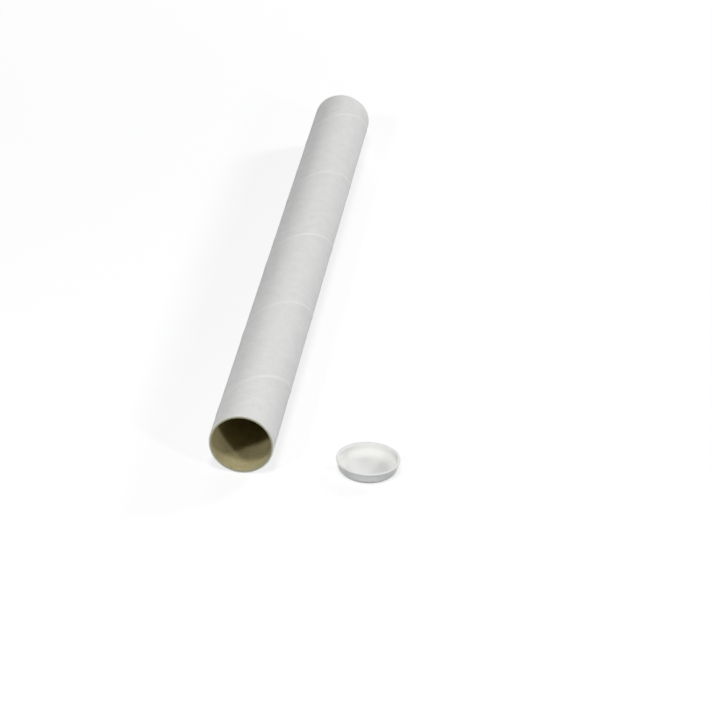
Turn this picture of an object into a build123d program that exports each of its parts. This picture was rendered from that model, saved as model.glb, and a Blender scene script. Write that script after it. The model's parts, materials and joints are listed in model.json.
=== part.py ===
from build123d import *
import math
import os

os.makedirs("parts", exist_ok=True)

# A spirally wound cardboard mailing tube that lies on its side, in millimetres. The bore's axis is the
# Y axis, with the open mouth at the origin facing -Y. One end plug is seated in the far end, and the
# other has been taken off and lies beside the mouth, open side up.

# The tube's wall: a wound kraft core under one white outer ply
tube_length = 650.0
bore_diameter = 50.0
core_wall = 1.95
outer_ply_thickness = 0.3
bore_edge_chamfer = 0.25

# The outer ply's lap seam, a helix that climbs to the right
seam_pitch = 134.0
seam_crosses_top = 64.3
lap_width = 4.5
lap_rise = 0.2
lap_ramp = 1.5

# The end plug, a thin moulded dish with a flange round its rim
skirt_depth = 10.1
flange_thickness = 1.2
flange_inset = 0.3
flange_bevel = 0.4
plug_wall = 1.0
plug_floor = 1.0
lead_in = 3.0
rim_flare = 0.9
shoulder_height = 3.5
shoulder_width = 5.5

# The far end of the bore, which the seated plug has pressed out a hair
seat_stretch = 0.1
seat_ramp = 1.5
seat_margin = 1.4
plug_clearance = 0.05

# Where the loose plug lies, from the centre of the mouth
loose_plug_aside = 103.5
loose_plug_along = 24.0

# Sizes that follow from these
bore_radius = bore_diameter / 2
core_radius = bore_radius + core_wall
tube_radius = core_radius + outer_ply_thickness
ground_level = -(tube_radius + lap_rise)
seat_radius = bore_radius + seat_stretch
seat_start = tube_length - skirt_depth - seat_margin
skirt_radius = seat_radius - plug_clearance
flange_radius = tube_radius - flange_inset
plug_height = skirt_depth + flange_thickness
dish_radius = skirt_radius - plug_wall

mouth_plane = Plane(origin=(0, 0, 0), x_dir=(1, 0, 0), z_dir=(0, 1, 0))


# Kraft core: the brown board seen in the bore and on the cut end
with BuildPart() as kraft_core:
    with BuildSketch(Plane.XY):
        with BuildLine():
            Polyline(
                (bore_radius + bore_edge_chamfer, 0),
                (core_radius, 0),
                (core_radius, tube_length),
                (seat_radius + bore_edge_chamfer, tube_length),
                (seat_radius, tube_length - bore_edge_chamfer),
                (seat_radius, seat_start),
                (bore_radius, seat_start - seat_ramp),
                (bore_radius, bore_edge_chamfer),
                close=True,
            )
        make_face()
    revolve(axis=Axis.Y)
kraft_core.part.label = "kraft_core"
export_step(kraft_core.part, "parts/kraft_core.step")


# White outer ply: one strip wound round the core, each turn lapping the last. The lap stands proud as a
# helical band that rises on a gentle ramp and drops off at the strip's cut edge.
lap_root = outer_ply_thickness / 2
seam_angle = math.atan(seam_pitch / (2 * math.pi * tube_radius))
lap_reach = lap_width / math.cos(seam_angle)
# the helix starts on top of the tube, clear of the mouth, and ends past the far end
seam_start = (seam_crosses_top + lap_reach) % seam_pitch - seam_pitch - lap_reach
seam_height = tube_length + lap_reach - seam_start


def surface_drop(offset):
    """How far the round wall falls away at this offset across the seam."""
    return tube_radius - math.sqrt(tube_radius**2 - (offset * math.sin(seam_angle)) ** 2)


lap_edge = lap_width / 2
lap_shoulder = lap_edge - lap_ramp

with BuildPart() as white_outer_ply:
    with BuildLine() as seam:
        Helix(
            pitch=seam_pitch,
            height=seam_height,
            radius=tube_radius,
            center=(0, seam_start, 0),
            direction=(0, 1, 0),
        )
    with BuildSketch(Plane(origin=seam.line @ 0, x_dir=(0, 0, 1), z_dir=seam.line % 0)):
        with BuildLine():
            Polyline(
                (-lap_root - surface_drop(lap_edge), -lap_edge),
                (lap_rise - surface_drop(lap_edge), -lap_edge),
                (lap_rise - surface_drop(lap_shoulder), lap_shoulder),
                (-lap_root - surface_drop(lap_edge), lap_edge),
                close=True,
            )
        make_face()
    sweep(path=seam.line, is_frenet=True)
    with BuildSketch(mouth_plane):
        Circle(tube_radius + 2 * lap_rise)
    extrude(amount=tube_length, mode=Mode.INTERSECT)
    with BuildSketch(mouth_plane):
        Circle(tube_radius)
        Circle(core_radius, mode=Mode.SUBTRACT)
    extrude(amount=tube_length)
white_outer_ply.part.label = "white_outer_ply"
export_step(white_outer_ply.part, "parts/white_outer_ply.step")


# End plug: half its section, drawn from the axis out, with the closed base at zero height. The skirt has a
# tapered lead-in, the flange a bevelled edge, and the dish a flared rim and a sloping shoulder.
with BuildSketch() as plug_section:
    with BuildLine():
        Polyline(
            (0, 0),
            (skirt_radius - lead_in, 0),
            (skirt_radius, lead_in),
            (skirt_radius, skirt_depth),
            (flange_radius - flange_bevel, skirt_depth),
            (flange_radius, skirt_depth + flange_bevel),
            (flange_radius, plug_height - flange_bevel),
            (flange_radius - flange_bevel, plug_height),
            (dish_radius + rim_flare, plug_height),
            (dish_radius, plug_height - rim_flare),
            (dish_radius, plug_floor + shoulder_height),
            (dish_radius - shoulder_width, plug_floor),
            (0, plug_floor),
            close=True,
        )
    make_face()


# Far plug: seated, with its flange against the cut end and its dish facing out
far_plug_plane = Plane(origin=(0, tube_length - skirt_depth, 0), x_dir=(1, 0, 0), z_dir=(0, 0, 1))
with BuildPart() as far_plug:
    with BuildSketch(far_plug_plane):
        add(plug_section.sketch)
    revolve(axis=Axis.Y)
far_plug.part.label = "far_plug"
export_step(far_plug.part, "parts/far_plug.step")


# Loose plug: the same moulding, standing on its base beside the mouth
loose_plug_centre = (loose_plug_aside, loose_plug_along, ground_level)
loose_plug_plane = Plane(origin=loose_plug_centre, x_dir=(1, 0, 0), z_dir=(0, -1, 0))
with BuildPart() as loose_plug:
    with BuildSketch(loose_plug_plane):
        add(plug_section.sketch)
    revolve(axis=Axis(loose_plug_centre, (0, 0, 1)))
loose_plug.part.label = "loose_plug"
export_step(loose_plug.part, "parts/loose_plug.step")
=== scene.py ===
import json
import math

import bmesh
import bpy
from mathutils import Matrix, Quaternion, Vector


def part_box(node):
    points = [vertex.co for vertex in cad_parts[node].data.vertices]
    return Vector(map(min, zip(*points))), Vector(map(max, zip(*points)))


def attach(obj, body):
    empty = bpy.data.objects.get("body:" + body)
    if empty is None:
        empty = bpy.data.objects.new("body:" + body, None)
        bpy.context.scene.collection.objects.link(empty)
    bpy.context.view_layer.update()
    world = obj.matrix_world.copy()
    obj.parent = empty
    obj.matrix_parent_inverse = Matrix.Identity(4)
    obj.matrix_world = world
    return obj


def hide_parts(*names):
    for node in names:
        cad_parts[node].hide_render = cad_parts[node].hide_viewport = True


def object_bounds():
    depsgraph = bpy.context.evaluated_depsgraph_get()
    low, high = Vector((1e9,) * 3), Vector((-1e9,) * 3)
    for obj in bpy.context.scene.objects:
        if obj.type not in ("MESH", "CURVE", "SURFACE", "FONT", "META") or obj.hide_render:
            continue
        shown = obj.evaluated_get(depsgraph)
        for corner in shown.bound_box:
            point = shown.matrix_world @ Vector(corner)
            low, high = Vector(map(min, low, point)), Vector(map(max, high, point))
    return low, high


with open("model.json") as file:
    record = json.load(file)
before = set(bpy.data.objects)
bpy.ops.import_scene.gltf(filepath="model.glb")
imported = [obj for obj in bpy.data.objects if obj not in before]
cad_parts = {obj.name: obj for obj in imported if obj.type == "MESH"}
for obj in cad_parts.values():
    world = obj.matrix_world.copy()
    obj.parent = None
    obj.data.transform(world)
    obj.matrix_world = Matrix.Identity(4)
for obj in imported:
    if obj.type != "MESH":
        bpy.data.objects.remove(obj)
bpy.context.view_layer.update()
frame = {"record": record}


# Kraft core: strips of brown board wound on a round mandrel and glued, each ply's edges butted, then cut
# square to length. It carries the tube. The bore shows the innermost ply with its butt joint, and the cut
# end shows the edges of the plies.
core_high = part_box("kraft_core")[1]
tube_length = core_high.y
core_radius = core_high.x
mounts = {mount["name"]: mount for mount in frame["record"]["mounts"]}
bore_radius = mounts["mouth_bore"]["dims"]["r_mm"] / 1000
board_thickness = core_radius - bore_radius
board_plies = 4
ply_thickness = board_thickness / board_plies
pale_ply_thickness = 0.00035
wound_pitch = 0.134
bore_joint_at_top = 0.028
bore_joint_width = 0.0006
bore_joint_depth = 0.00012
bore_edge_width = 0.00025
# the far end of the bore, which the seated plug has pressed out
seat_start = 0.6385
seat_ramp = 0.0015
seat_stretch = 0.0001
winding_steps = 180
# corners nearer than this are one corner, and edges shorter than this are slivers left by a cut
weld_reach = 1e-6
sliver_reach = 2e-6
sharp_from = math.radians(35)


def wind_strip(pitch, start, contour):
    """A strip wound round the Y axis, climbing from the top towards +X, its edges joined turn to turn.

    The contour is the strip's surface across its width, as pairs of a place along Y and a radius."""
    first = (start % pitch) - 2 * pitch
    turns = math.ceil((tube_length - first) / pitch)
    shell = bmesh.new()
    corners = [shell.verts.new((0, first + along, radius)) for along, radius in contour]
    edges = [shell.edges.new(pair) for pair in zip(corners, corners[1:])]
    bmesh.ops.spin(
        shell,
        geom=corners + edges,
        axis=(0, 1, 0),
        dvec=(0, pitch / winding_steps, 0),
        angle=2 * math.pi * turns,
        steps=winding_steps * turns,
    )
    bmesh.ops.remove_doubles(shell, verts=shell.verts, dist=weld_reach)
    return shell


def cut_square(shell, lowest, highest):
    """Cuts a wound shell square at both ends and gives the two round edges that this leaves."""
    for place, keeps_far_side in ((lowest, True), (highest, False)):
        bmesh.ops.bisect_plane(
            shell,
            geom=shell.verts[:] + shell.edges[:] + shell.faces[:],
            plane_co=(0, place, 0),
            plane_no=(0, 1, 0),
            clear_inner=keeps_far_side,
            clear_outer=not keeps_far_side,
        )
    rims = [edge for edge in shell.edges if edge.is_boundary]
    middle = (lowest + highest) / 2
    near_rim = [edge for edge in rims if edge.verts[0].co.y < middle]
    far_rim = [edge for edge in rims if edge.verts[0].co.y > middle]
    return near_rim, far_rim


def set_radius(corner, radius):
    """Moves a corner straight out from the tube's axis to a radius."""
    outward = Vector((corner.co.x, 0, corner.co.z)).normalized()
    corner.co = (outward.x * radius, corner.co.y, outward.z * radius)


def draw_rim(shell, rim, radius, along):
    """Extrudes a round edge to a new radius and place along the tube, and gives the new edge."""
    drawn = bmesh.ops.extrude_edge_only(shell, edges=rim)["geom"]
    for corner in (part for part in drawn if isinstance(part, bmesh.types.BMVert)):
        corner.co.y = along
        set_radius(corner, radius)
    return [part for part in drawn if isinstance(part, bmesh.types.BMEdge) and part.is_boundary]


def finish_piece(shell, name, body, node, finish):
    """Turns a modelled shell into a piece that rides on its body and stands for its node."""
    bmesh.ops.dissolve_degenerate(shell, edges=shell.edges, dist=sliver_reach)
    bmesh.ops.recalc_face_normals(shell, faces=shell.faces)
    mesh = bpy.data.meshes.new(name)
    shell.to_mesh(mesh)
    shell.free()
    mesh.shade_smooth()
    mesh.set_sharp_from_angle(angle=sharp_from)
    mesh.materials.append(finish)
    piece = bpy.data.objects.new(name, mesh)
    bpy.context.scene.collection.objects.link(piece)
    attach(piece, body)
    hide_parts(node)


def put_node(tree, kind, values=None, **settings):
    """Adds a shader node with its settings, and gives each named input a value or a link."""
    node = tree.nodes.new(kind)
    for setting, choice in settings.items():
        setattr(node, setting, choice)
    for socket, value in (values or {}).items():
        if isinstance(value, bpy.types.NodeSocket):
            tree.links.new(value, node.inputs[socket])
        else:
            node.inputs[socket].default_value = value
    return node


def work_out(tree, operation, *values):
    """Adds a Math node and gives its result."""
    return put_node(tree, "ShaderNodeMath", dict(enumerate(values)), operation=operation).outputs[0]


def fade(tree, value, start, end, at_start, at_end):
    """Maps a value smoothly from one range to another."""
    ranges = {"Value": value, "From Min": start, "From Max": end, "To Min": at_start, "To Max": at_end}
    return put_node(tree, "ShaderNodeMapRange", ranges, interpolation_type="SMOOTHSTEP").outputs["Result"]


def tint(tree, share, first, second):
    """Adds a Mix node and gives its colour: a share of the second colour over the first."""
    # the Mix node has several sockets of each name, and inputs 6 and 7 and output 2 are the colours
    return put_node(tree, "ShaderNodeMix", {0: share, 6: first, 7: second}, data_type="RGBA").outputs[2]


def start_finish(name):
    """A new material, its node tree, its Principled shader and the place on the object."""
    finish = bpy.data.materials.new(name)
    finish.use_nodes = True
    tree = finish.node_tree
    shader = next(node for node in tree.nodes if node.type == "BSDF_PRINCIPLED")
    place = put_node(tree, "ShaderNodeTexCoord").outputs["Object"]
    return finish, tree, shader, place


def start_group(name, inputs, outputs):
    """A new shader node group with its named sockets, and the sockets of its two end nodes."""
    group = bpy.data.node_groups.new(name, "ShaderNodeTree")
    for socket, kind in inputs.items():
        group.interface.new_socket(name=socket, in_out="INPUT", socket_type=kind)
    for socket, kind in outputs.items():
        group.interface.new_socket(name=socket, in_out="OUTPUT", socket_type=kind)
    return group, group.nodes.new("NodeGroupInput").outputs, group.nodes.new("NodeGroupOutput").inputs


def use_group(tree, group, values):
    """Places a node group in a material and gives its outputs."""
    return put_node(tree, "ShaderNodeGroup", values, node_tree=group).outputs


# how far along the tube a point lies past the nearest turn of a wound joint
wound_joint, given, result = start_group(
    "wound_joint",
    {"Place": "NodeSocketVector", "Pitch": "NodeSocketFloat", "Crosses Top": "NodeSocketFloat"},
    {"Distance": "NodeSocketFloat"},
)
axes = put_node(wound_joint, "ShaderNodeSeparateXYZ", {0: given["Place"]}).outputs
turn = work_out(wound_joint, "DIVIDE", work_out(wound_joint, "ARCTAN2", axes["X"], axes["Z"]), 2 * math.pi)
climb = work_out(wound_joint, "MULTIPLY", turn, given["Pitch"])
past_top = work_out(wound_joint, "SUBTRACT", axes["Y"], given["Crosses Top"])
past_joint = work_out(wound_joint, "SUBTRACT", past_top, climb)
half_pitch = work_out(wound_joint, "MULTIPLY", given["Pitch"], 0.5)
half_back = work_out(wound_joint, "MULTIPLY", given["Pitch"], -0.5)
nearest = work_out(wound_joint, "WRAP", past_joint, half_pitch, half_back)
wound_joint.links.new(nearest, result["Distance"])

# the felt of paper and board: soft clouds, a fine grain, and single hairs of fibre that the grain bends
clouds_to_grain = 0.1
hairs_to_grain = 0.6
hair_bend = 0.002
hair_stretch = (1, 0.2, 1)
# the four numbers of a fade, here and below: where it starts and ends, and what it gives there
hair_fade = (0.05, 0.25, 1, 0)
paper_felt, given, result = start_group(
    "paper_felt",
    {"Place": "NodeSocketVector", "Grain Size": "NodeSocketFloat"},
    {"Cloud": "NodeSocketFloat", "Grain": "NodeSocketFloat", "Hair": "NodeSocketFloat"},
)
grain_scale = work_out(paper_felt, "DIVIDE", 1, given["Grain Size"])
cloud_scale = work_out(paper_felt, "MULTIPLY", grain_scale, clouds_to_grain)
hair_scale = work_out(paper_felt, "MULTIPLY", grain_scale, hairs_to_grain)
cloud_noise = {"Vector": given["Place"], "Scale": cloud_scale, "Detail": 3}
grain_noise = {"Vector": given["Place"], "Scale": grain_scale, "Detail": 4, "Roughness": 0.65}
cloud = put_node(paper_felt, "ShaderNodeTexNoise", cloud_noise).outputs["Fac"]
grain = put_node(paper_felt, "ShaderNodeTexNoise", grain_noise).outputs
bend = {0: grain["Color"], 1: (hair_bend,) * 3, 2: given["Place"]}
bent = put_node(paper_felt, "ShaderNodeVectorMath", bend, operation="MULTIPLY_ADD").outputs[0]
stretch = {0: bent, 1: hair_stretch}
stretched = put_node(paper_felt, "ShaderNodeVectorMath", stretch, operation="MULTIPLY").outputs[0]
hair_cells = {"Vector": stretched, "Scale": hair_scale}
from_hair = put_node(paper_felt, "ShaderNodeTexVoronoi", hair_cells).outputs["Distance"]
paper_felt.links.new(cloud, result["Cloud"])
paper_felt.links.new(grain["Fac"], result["Grain"])
paper_felt.links.new(fade(paper_felt, from_hair, *hair_fade), result["Hair"])

# kraft board: brown, flecked with darker and paler fibre
kraft_brown = (0.50, 0.44, 0.235, 1)
kraft_dark = (0.34, 0.29, 0.148, 1)
kraft_pale = (0.59, 0.53, 0.325, 1)
kraft_grain_size = 0.0011
kraft_clouds = (0.35, 0.7, 0, 0.5)
kraft_flecks = (0.4, 0.68, 0, 0.8)
kraft_roughness = (0.3, 0.7, 0.78, 0.92)
kraft_hair_share = 0.55
joint_shade = 0.75
joint_core = bore_joint_width * 0.4
joint_reach = bore_joint_width * 0.9
kraft_finish, tree, shader, place = start_finish("kraft_board")
felt = use_group(tree, paper_felt, {"Place": place, "Grain Size": kraft_grain_size})
joint_facts = {"Place": place, "Pitch": wound_pitch, "Crosses Top": bore_joint_at_top}
from_joint = work_out(tree, "ABSOLUTE", use_group(tree, wound_joint, joint_facts)["Distance"])
in_joint = fade(tree, from_joint, joint_core, joint_reach, 1, 0)
board = tint(tree, fade(tree, felt["Cloud"], *kraft_clouds), kraft_brown, kraft_dark)
board = tint(tree, fade(tree, felt["Grain"], *kraft_flecks), board, kraft_pale)
board = tint(tree, work_out(tree, "MULTIPLY", felt["Hair"], kraft_hair_share), board, kraft_dark)
board = tint(tree, work_out(tree, "MULTIPLY", in_joint, joint_shade), board, kraft_dark)

# its cut end: paler, with a darker line of glue at each ply and a pale ply outermost. The line behind the
# innermost ply is glue darkened with painted shade, most of all low in the mouth, where that ply has parted
# a little.
cut_board = (0.565, 0.565, 0.425, 1)
# cream of the pale ply's cut edge, brighter than the paper because it also paints the highlight along the
# cut
cut_cream_and_highlight = (0.91, 0.91, 0.815, 1)
glue_brown = (0.35, 0.335, 0.23, 1)
# the darkest brown: the glue behind the innermost ply together with the painted shade of its gap
glue_and_gap_shade = (0.12, 0.11, 0.07, 1)
end_reach = 0.00005
ply_wander = 0.00025
glue_line = (0.3, 0.48, 0, 1)
glue_share = 0.6
cut_flecks = (0.4, 0.75, 0, 0.3)
inner_line_reach = 0.00026
inner_line_core = inner_line_reach * 0.4
inner_line_share = 0.85
gap_shade_low = (-0.012, 0.014, 1, 0.35)
pale_ply_blur = 0.00003
pale_ply_share = 0.9
axes = put_node(tree, "ShaderNodeSeparateXYZ", {0: place}).outputs
from_middle = work_out(tree, "ABSOLUTE", work_out(tree, "SUBTRACT", axes["Y"], tube_length / 2))
on_end = work_out(tree, "GREATER_THAN", from_middle, tube_length / 2 - end_reach)
x_squared = work_out(tree, "POWER", axes["X"], 2)
z_squared = work_out(tree, "POWER", axes["Z"], 2)
radius = work_out(tree, "SQRT", work_out(tree, "ADD", x_squared, z_squared))
wander = work_out(tree, "MULTIPLY", work_out(tree, "SUBTRACT", felt["Grain"], 0.5), ply_wander)
depth = work_out(tree, "SUBTRACT", work_out(tree, "ADD", radius, wander), bore_radius)
ply = work_out(tree, "FRACT", work_out(tree, "DIVIDE", depth, ply_thickness))
on_glue = fade(tree, work_out(tree, "ABSOLUTE", work_out(tree, "SUBTRACT", ply, 0.5)), *glue_line)
end = tint(tree, work_out(tree, "MULTIPLY", on_glue, glue_share), cut_board, glue_brown)
end = tint(tree, fade(tree, felt["Grain"], *cut_flecks), end, kraft_pale)
from_inner_line = work_out(tree, "ABSOLUTE", work_out(tree, "SUBTRACT", depth, ply_thickness))
inner_line = fade(tree, from_inner_line, inner_line_core, inner_line_reach, inner_line_share, 0)
# painted shade over the innermost glue line, stronger low in the mouth
parted_gap_shade = fade(tree, axes["Z"], *gap_shade_low)
end = tint(tree, work_out(tree, "MULTIPLY", inner_line, parted_gap_shade), end, glue_and_gap_shade)
pale_from = board_thickness - pale_ply_thickness
in_pale_ply = fade(tree, depth, pale_from - pale_ply_blur, pale_from + pale_ply_blur, 0, pale_ply_share)
end = tint(tree, in_pale_ply, end, cut_cream_and_highlight)

# the surface of both: rough, with the felt raised and the lines of glue sunk
kraft_bump_strength = 0.35
kraft_bump_height = 0.00012
kraft_cloud_height = 0.6
tree.links.new(tint(tree, on_end, board, end), shader.inputs["Base Color"])
tree.links.new(fade(tree, felt["Grain"], *kraft_roughness), shader.inputs["Roughness"])
clouds_raised = work_out(tree, "MULTIPLY", felt["Cloud"], kraft_cloud_height)
relief = work_out(tree, "ADD", felt["Grain"], clouds_raised)
relief = work_out(tree, "SUBTRACT", relief, work_out(tree, "MULTIPLY", on_glue, on_end))
bump_facts = {"Height": relief, "Strength": kraft_bump_strength, "Distance": kraft_bump_height}
bump = put_node(tree, "ShaderNodeBump", bump_facts)
tree.links.new(bump.outputs["Normal"], shader.inputs["Normal"])
shader.inputs["Specular IOR Level"].default_value = 0.3

# the bore is one strip with the groove of its joint, and the cut ends and the glued outside close it
half_joint = bore_joint_width / 2
bore_contour = (
    (0, bore_radius),
    (half_joint, bore_radius),
    (half_joint, bore_radius + bore_joint_depth),
    (half_joint + bore_joint_width, bore_radius + bore_joint_depth),
    (half_joint + bore_joint_width, bore_radius),
    (wound_pitch, bore_radius),
)
seat_radius = bore_radius + seat_stretch
core = wind_strip(wound_pitch, bore_joint_at_top - bore_joint_width, bore_contour)
near_rim, far_rim = cut_square(core, bore_edge_width, tube_length - bore_edge_width)
near_rim = draw_rim(core, near_rim, bore_radius + bore_edge_width, 0)
near_rim = draw_rim(core, near_rim, core_radius, 0)
far_rim = draw_rim(core, far_rim, seat_radius + bore_edge_width, tube_length)
far_rim = draw_rim(core, far_rim, core_radius, tube_length)
for ring in (seat_start - seat_ramp, seat_start):
    whole = core.verts[:] + core.edges[:] + core.faces[:]
    bmesh.ops.bisect_plane(core, geom=whole, plane_co=(0, ring, 0), plane_no=(0, 1, 0))
for corner in core.verts:
    is_in_seat = corner.co.y > seat_start - seat_ramp / 2
    if is_in_seat and math.hypot(corner.co.x, corner.co.z) < seat_radius:
        set_radius(corner, seat_radius)
bmesh.ops.bridge_loops(core, edges=near_rim + far_rim)
finish_piece(core, "wound_kraft_core", "tube", "kraft_core", kraft_finish)


# White outer ply: one strip of bleached paper wound over the core last and glued, each turn lapping the one
# before. The lap stands proud as a band that ramps up gently and ends at the strip's knife-cut edge. The
# butt joints of the plies beneath show through as faint ridges.
tube_radius = mounts["outside"]["dims"]["r_mm"] / 1000
seam_angle = math.atan(wound_pitch / (2 * math.pi * tube_radius))
lap_crosses_top = 0.0643
lap_width = 0.0045
lap_ramp_width = 0.0015
lap_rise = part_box("white_outer_ply")[1].z - tube_radius
# the lap's sizes along the tube, which it crosses at a slant
lap_reach = lap_width / math.cos(seam_angle)
lap_ramp = lap_ramp_width / math.cos(seam_angle)
step_reach = 0.00002
ridge_rise = 0.00003
ridge_width = 0.003
ridge_side = ridge_width * 0.35
ridges_past_lap = (0.041, 0.093)

# bleached paper: off-white and lightly mottled, worn brighter on the lap, with a thin shade at its step and
# a raw cream edge where the tube is cut, brightened as a painted highlight
white_paper = (0.79, 0.785, 0.768, 1)
white_shade = (0.73, 0.729, 0.72, 1)
white_bright = (0.845, 0.84, 0.82, 1)
lap_bright = (0.89, 0.885, 0.86, 1)
lap_shadow = (0.60, 0.60, 0.59, 1)
paper_grain_size = 0.0009
paper_clouds = (0.3, 0.75, 0, 1)
paper_flecks = (0.4, 0.62, 0, 0.85)
paper_roughness = (0.3, 0.7, 0.5, 0.62)
paper_hair_share = 0.55
lap_wear = (0.38, 0.6, 0.3, 0.75)
lap_edge_blur = 0.0001
lap_shadow_offset = 0.0002
lap_shadow_fade = (0.0001, 0.0007, 1, 0)
lap_shadow_share = 0.2
raw_edge_reach = 0.0009
raw_edge_core = raw_edge_reach * 0.4
raw_edge_share = 0.9
paper_bump_strength = 0.42
paper_bump_height = 0.0001
white_finish, tree, shader, place = start_finish("white_paper")
felt = use_group(tree, paper_felt, {"Place": place, "Grain Size": paper_grain_size})
lap_facts = {"Place": place, "Pitch": wound_pitch, "Crosses Top": lap_crosses_top}
past_lap = use_group(tree, wound_joint, lap_facts)["Distance"]
up_ramp = fade(tree, past_lap, -lap_reach / 2, -lap_reach / 2 + lap_ramp, 0, 1)
before_step = fade(tree, past_lap, lap_reach / 2 - lap_edge_blur, lap_reach / 2, 1, 0)
on_lap = work_out(tree, "MULTIPLY", up_ramp, before_step)
past_step = work_out(tree, "SUBTRACT", past_lap, lap_reach / 2 + lap_shadow_offset)
at_step = fade(tree, work_out(tree, "ABSOLUTE", past_step), *lap_shadow_fade)
worn = fade(tree, felt["Cloud"], *lap_wear)
paper = tint(tree, fade(tree, felt["Cloud"], *paper_clouds), white_paper, white_shade)
paper = tint(tree, fade(tree, felt["Grain"], *paper_flecks), paper, white_bright)
paper = tint(tree, work_out(tree, "MULTIPLY", felt["Hair"], paper_hair_share), paper, white_shade)
paper = tint(tree, work_out(tree, "MULTIPLY", on_lap, worn), paper, lap_bright)
paper = tint(tree, work_out(tree, "MULTIPLY", at_step, lap_shadow_share), paper, lap_shadow)
axes = put_node(tree, "ShaderNodeSeparateXYZ", {0: place}).outputs
from_middle = work_out(tree, "ABSOLUTE", work_out(tree, "SUBTRACT", axes["Y"], tube_length / 2))
from_cut = work_out(tree, "SUBTRACT", tube_length / 2, from_middle)
# a cream band along each cut: the paper's raw edge, brightened into a painted highlight
raw_edge_and_highlight = fade(tree, from_cut, raw_edge_core, raw_edge_reach, raw_edge_share, 0)
tree.links.new(tint(tree, raw_edge_and_highlight, paper, cut_cream_and_highlight), shader.inputs["Base Color"])
tree.links.new(fade(tree, felt["Cloud"], *paper_roughness), shader.inputs["Roughness"])
relief = work_out(tree, "ADD", felt["Grain"], felt["Cloud"])
bump_facts = {"Height": relief, "Strength": paper_bump_strength, "Distance": paper_bump_height}
bump = put_node(tree, "ShaderNodeBump", bump_facts)
tree.links.new(bump.outputs["Normal"], shader.inputs["Normal"])
shader.inputs["Specular IOR Level"].default_value = 0.35

lap_contour = [
    (0, tube_radius),
    (lap_ramp, tube_radius + lap_rise),
    (lap_reach, tube_radius + lap_rise),
    (lap_reach + step_reach, tube_radius),
]
for past in ridges_past_lap:
    lap_contour.append((past, tube_radius))
    lap_contour.append((past + ridge_side, tube_radius + ridge_rise))
    lap_contour.append((past + ridge_width - ridge_side, tube_radius + ridge_rise))
    lap_contour.append((past + ridge_width, tube_radius))
lap_contour.append((wound_pitch, tube_radius))
outer_ply = wind_strip(wound_pitch, lap_crosses_top - lap_reach / 2, lap_contour)
near_rim, far_rim = cut_square(outer_ply, 0, tube_length)
near_rim = draw_rim(outer_ply, near_rim, core_radius, 0)
far_rim = draw_rim(outer_ply, far_rim, core_radius, tube_length)
bmesh.ops.bridge_loops(outer_ply, edges=near_rim + far_rim)
finish_piece(outer_ply, "white_outer_wrap", "tube", "white_outer_ply", white_finish)


# End plugs: thin, slightly translucent dishes injection-moulded in white polyethylene, pressed into the
# ends of the bore until the flange meets the cut board. One is seated in the far end, and the other has
# been pulled out and lies open side up.
skirt_radius = mounts["plug_skirt"]["dims"]["r_mm"] / 1000
seated_low, seated_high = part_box("far_plug")
loose_low, loose_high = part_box("loose_plug")
plug_height = seated_high.y - seated_low.y
flange_radius = seated_high.x
flange_thickness = 0.0012
plug_wall = 0.001
plug_floor = 0.001
lead_in = 0.003
rim_flare = 0.0009
shoulder_height = 0.0035
shoulder_width = 0.0055
floor_crown = 0.0003
dish_radius = skirt_radius - plug_wall
under_flange = plug_height - flange_thickness
moulding_steps = 192
rounding_segments = 5
# each corner of the section: radius, height above the base, and how far its rounding reaches
plug_section = (
    (0, 0, 0),
    (skirt_radius - lead_in, 0, 0.0012),
    (skirt_radius, lead_in, 0.0015),
    (skirt_radius, under_flange, 0),
    (flange_radius, under_flange, 0.0003),
    (flange_radius, plug_height, 0.0008),
    (dish_radius + rim_flare, plug_height, 0.0004),
    (dish_radius, plug_height - rim_flare, 0.0005),
    (dish_radius, plug_floor + shoulder_height, 0.002),
    (dish_radius - shoulder_width, plug_floor, 0.0025),
    (0, plug_floor + floor_crown, 0),
)

# polyethylene: milky white with soft flow marks and a fine skin, letting a little light through
plug_white = (0.88, 0.875, 0.85, 1)
plug_shade = (0.855, 0.852, 0.832, 1)
flow_marks = (0.35, 0.7, 0, 1)
plug_roughness = (0.3, 0.7, 0.48, 0.6)
skin_height = 0.4
plug_bump_strength = 0.15
plug_bump_height = 0.0002
plastic_finish, tree, shader, place = start_finish("white_plastic")
flow_noise = {"Vector": place, "Scale": 60, "Detail": 2}
skin_noise = {"Vector": place, "Scale": 900, "Detail": 3}
flow = put_node(tree, "ShaderNodeTexNoise", flow_noise).outputs["Fac"]
skin = put_node(tree, "ShaderNodeTexNoise", skin_noise).outputs["Fac"]
plastic = tint(tree, fade(tree, flow, *flow_marks), plug_white, plug_shade)
tree.links.new(plastic, shader.inputs["Base Color"])
tree.links.new(fade(tree, flow, *plug_roughness), shader.inputs["Roughness"])
relief = work_out(tree, "ADD", work_out(tree, "MULTIPLY", skin, skin_height), flow)
bump_facts = {"Height": relief, "Strength": plug_bump_strength, "Distance": plug_bump_height}
bump = put_node(tree, "ShaderNodeBump", bump_facts)
tree.links.new(bump.outputs["Normal"], shader.inputs["Normal"])
shader.inputs["Specular IOR Level"].default_value = 0.4
shader.inputs["Subsurface Weight"].default_value = 0.5
shader.inputs["Subsurface Radius"].default_value = (1, 0.97, 0.92)
shader.inputs["Subsurface Scale"].default_value = 0.002


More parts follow.
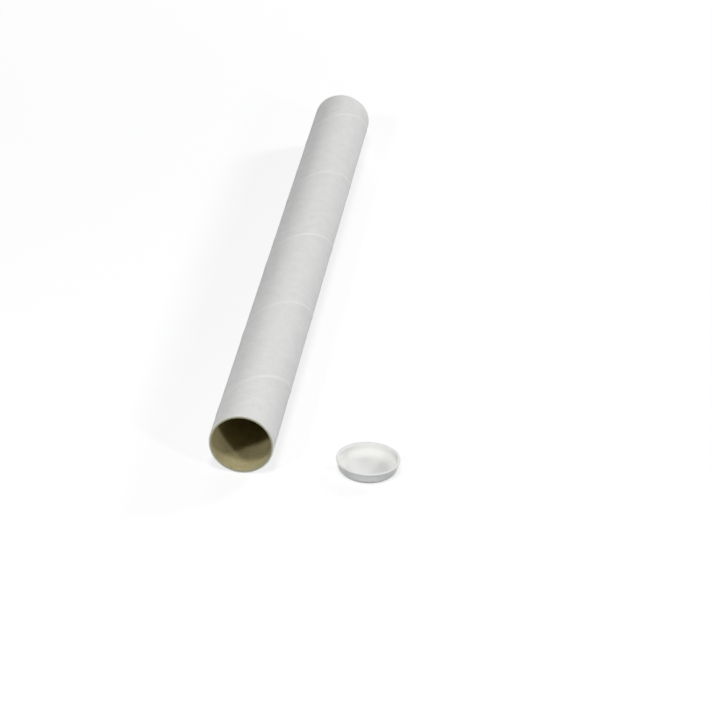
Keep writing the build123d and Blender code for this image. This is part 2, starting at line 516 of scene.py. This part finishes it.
def mould_plug(name, body, node, base, turned):
    """One plug, moulded from its section and then turned and moved to where it lies."""
    shell = bmesh.new()
    corners = [shell.verts.new((radius, 0, height)) for radius, height, rounding in plug_section]
    for pair in zip(corners, corners[1:]):
        shell.edges.new(pair)
    for corner, (radius, height, rounding) in zip(corners, plug_section):
        if rounding:
            bmesh.ops.bevel(
                shell,
                geom=[corner],
                offset=rounding,
                offset_type="OFFSET",
                segments=rounding_segments,
                profile=0.5,
                affect="VERTICES",
                material=-1,
            )
    bmesh.ops.spin(
        shell,
        geom=shell.verts[:] + shell.edges[:],
        axis=(0, 0, 1),
        angle=2 * math.pi,
        steps=moulding_steps,
        use_merge=True,
    )
    bmesh.ops.remove_doubles(shell, verts=shell.verts, dist=weld_reach)
    bmesh.ops.rotate(shell, verts=shell.verts, matrix=turned)
    bmesh.ops.translate(shell, verts=shell.verts, vec=base)
    finish_piece(shell, name, body, node, plastic_finish)


facing_out = Matrix.Rotation(math.radians(-90), 3, "X")
facing_up = Matrix.Identity(3)
far_base = Vector((0, seated_low.y, 0))
loose_base = (loose_low + loose_high) / 2
loose_base.z = loose_low.z
mould_plug("seated_end_plug", "far_plug", "far_plug", far_base, facing_out)
mould_plug("loose_end_plug", "tube", "loose_plug", loose_base, facing_up)


# The pale floor that the tube lies on. To the camera, and in reflections, it keeps the soft shadow and goes
# over into plain white further out. What it throws back onto the tube is a cool grey.
ground_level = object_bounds()[0].z
floor_reach = 5.0
floor_grey = 0.34
# roughly the brightness that the lamps give a white floor, and the floor's own glow adds the rest of white
floor_light = 0.8
sweep_starts = 0.5
sweep_ends = 1.6
floor_bounce = (0.41, 0.43, 0.46, 1)
plain_black = (0, 0, 0, 1)
plain_white = (1, 1, 1, 1)


def seen_directly(tree):
    """1 for rays that come from the camera, a reflection or clear glass, and 0 for the rest."""
    path = put_node(tree, "ShaderNodeLightPath").outputs
    direct = work_out(tree, "MAXIMUM", path["Is Camera Ray"], path["Is Glossy Ray"])
    return work_out(tree, "MAXIMUM", direct, path["Is Transmission Ray"])


floor_finish = bpy.data.materials.new("pale_floor")
floor_finish.use_nodes = True
tree = floor_finish.node_tree
tree.nodes.clear()
place = put_node(tree, "ShaderNodeTexCoord").outputs["Object"]
away = put_node(tree, "ShaderNodeVectorMath", {0: place}, operation="LENGTH").outputs["Value"]
grey = fade(tree, away, sweep_starts, sweep_ends, floor_grey, 0)
glow = work_out(tree, "SUBTRACT", 1, work_out(tree, "MULTIPLY", grey, floor_light))
lit = put_node(tree, "ShaderNodeBsdfDiffuse", {"Color": tint(tree, grey, plain_black, plain_white)})
glowing = put_node(tree, "ShaderNodeEmission", {"Color": plain_white, "Strength": glow})
seen = put_node(tree, "ShaderNodeAddShader", {0: lit.outputs[0], 1: glowing.outputs[0]})
bounce = put_node(tree, "ShaderNodeBsdfDiffuse", {"Color": floor_bounce})
both = {0: seen_directly(tree), 1: bounce.outputs[0], 2: seen.outputs[0]}
either = put_node(tree, "ShaderNodeMixShader", both)
put_node(tree, "ShaderNodeOutputMaterial", {"Surface": either.outputs[0]})

floor_sheet = bmesh.new()
bmesh.ops.create_grid(floor_sheet, x_segments=1, y_segments=1, size=floor_reach)
bmesh.ops.translate(floor_sheet, verts=floor_sheet.verts, vec=(0, 0, ground_level))
floor_mesh = bpy.data.meshes.new("floor")
floor_sheet.to_mesh(floor_mesh)
floor_sheet.free()
floor_mesh.materials.append(floor_finish)
floor = bpy.data.objects.new("floor", floor_mesh)
bpy.context.scene.collection.objects.link(floor)


# Studio light: a lamp on the right, one on the left and a wide one overhead, all in front, so that the
# mouth's rim throws three shadows down the bore. Two wide lamps behind, which leave no glare, light the far
# side and the seated plug. The surround is white to the camera and fills the shadows faintly.
scene = bpy.context.scene
lamp_aim = Vector((0.03, 0.15, 0))
fill_tone = (0.84, 0.91, 1, 1)
fill_strength = 0.05
surround = bpy.data.worlds.new("surround")
surround.use_nodes = True
tree = surround.node_tree
tree.nodes.clear()
fill = put_node(tree, "ShaderNodeBackground", {"Color": fill_tone, "Strength": fill_strength})
backdrop = put_node(tree, "ShaderNodeBackground", {"Color": plain_white, "Strength": 1})
both = {0: seen_directly(tree), 1: fill.outputs[0], 2: backdrop.outputs[0]}
either = put_node(tree, "ShaderNodeMixShader", both)
put_node(tree, "ShaderNodeOutputWorld", {"Surface": either.outputs[0]})
scene.world = surround


def hang_lamp(name, towards, distance, width, level, leaves_glare=True):
    """A round lamp in a direction from the mouth. Its level is what it adds to a white card facing it."""
    lamp = bpy.data.lights.new(name, "AREA")
    lamp.shape = "DISK"
    lamp.size = width
    lamp.energy = level * (math.pi * distance) ** 2
    hung = bpy.data.objects.new(name, lamp)
    hung.location = Vector(towards).normalized() * distance
    hung.rotation_mode = "QUATERNION"
    hung.rotation_quaternion = (lamp_aim - hung.location).to_track_quat("-Z", "Y")
    hung.visible_glossy = leaves_glare
    scene.collection.objects.link(hung)


hang_lamp("right_lamp", (0.72, -0.553, 0.417), distance=2.6, width=0.30, level=0.245)
hang_lamp("left_lamp", (-0.411, -0.656, 0.633), distance=2.6, width=0.35, level=0.29)
hang_lamp("overhead_lamp", (0, -0.313, 0.95), distance=2.2, width=0.45, level=0.37)
hang_lamp("side_lamp", (0.60, 0.70, 0.38), distance=2.6, width=0.60, level=0.335, leaves_glare=False)
hang_lamp("back_lamp", (-0.08, 0.97, 0.22), distance=2.8, width=0.60, level=0.24, leaves_glare=False)
scene.view_settings.view_transform = "Standard"


# The camera: a long lens that looks down on the open mouth from in front and a little to the right, with
# the slight roll that the photograph has.
camera_azimuth = math.radians(6.074)
camera_height = math.radians(29.319)
camera_roll = math.radians(2.167)
camera_distance = 2.558
camera_aim = Vector((0.0749, 0.1654, 0))
camera_lens = 148.3
sensor_width = 36
camera_data = bpy.data.cameras.new("camera")
camera_data.lens = camera_lens
camera_data.sensor_width = sensor_width
camera = bpy.data.objects.new("camera", camera_data)
sideways = math.sin(camera_azimuth) * math.cos(camera_height)
back = math.cos(camera_azimuth) * math.cos(camera_height)
outward = Vector((sideways, -back, math.sin(camera_height)))
camera.location = camera_aim + outward * camera_distance
camera.rotation_mode = "QUATERNION"
camera.rotation_quaternion = (-outward).to_track_quat("-Z", "Y") @ Quaternion((0, 0, 1), camera_roll)
scene.collection.objects.link(camera)
scene.camera = camera
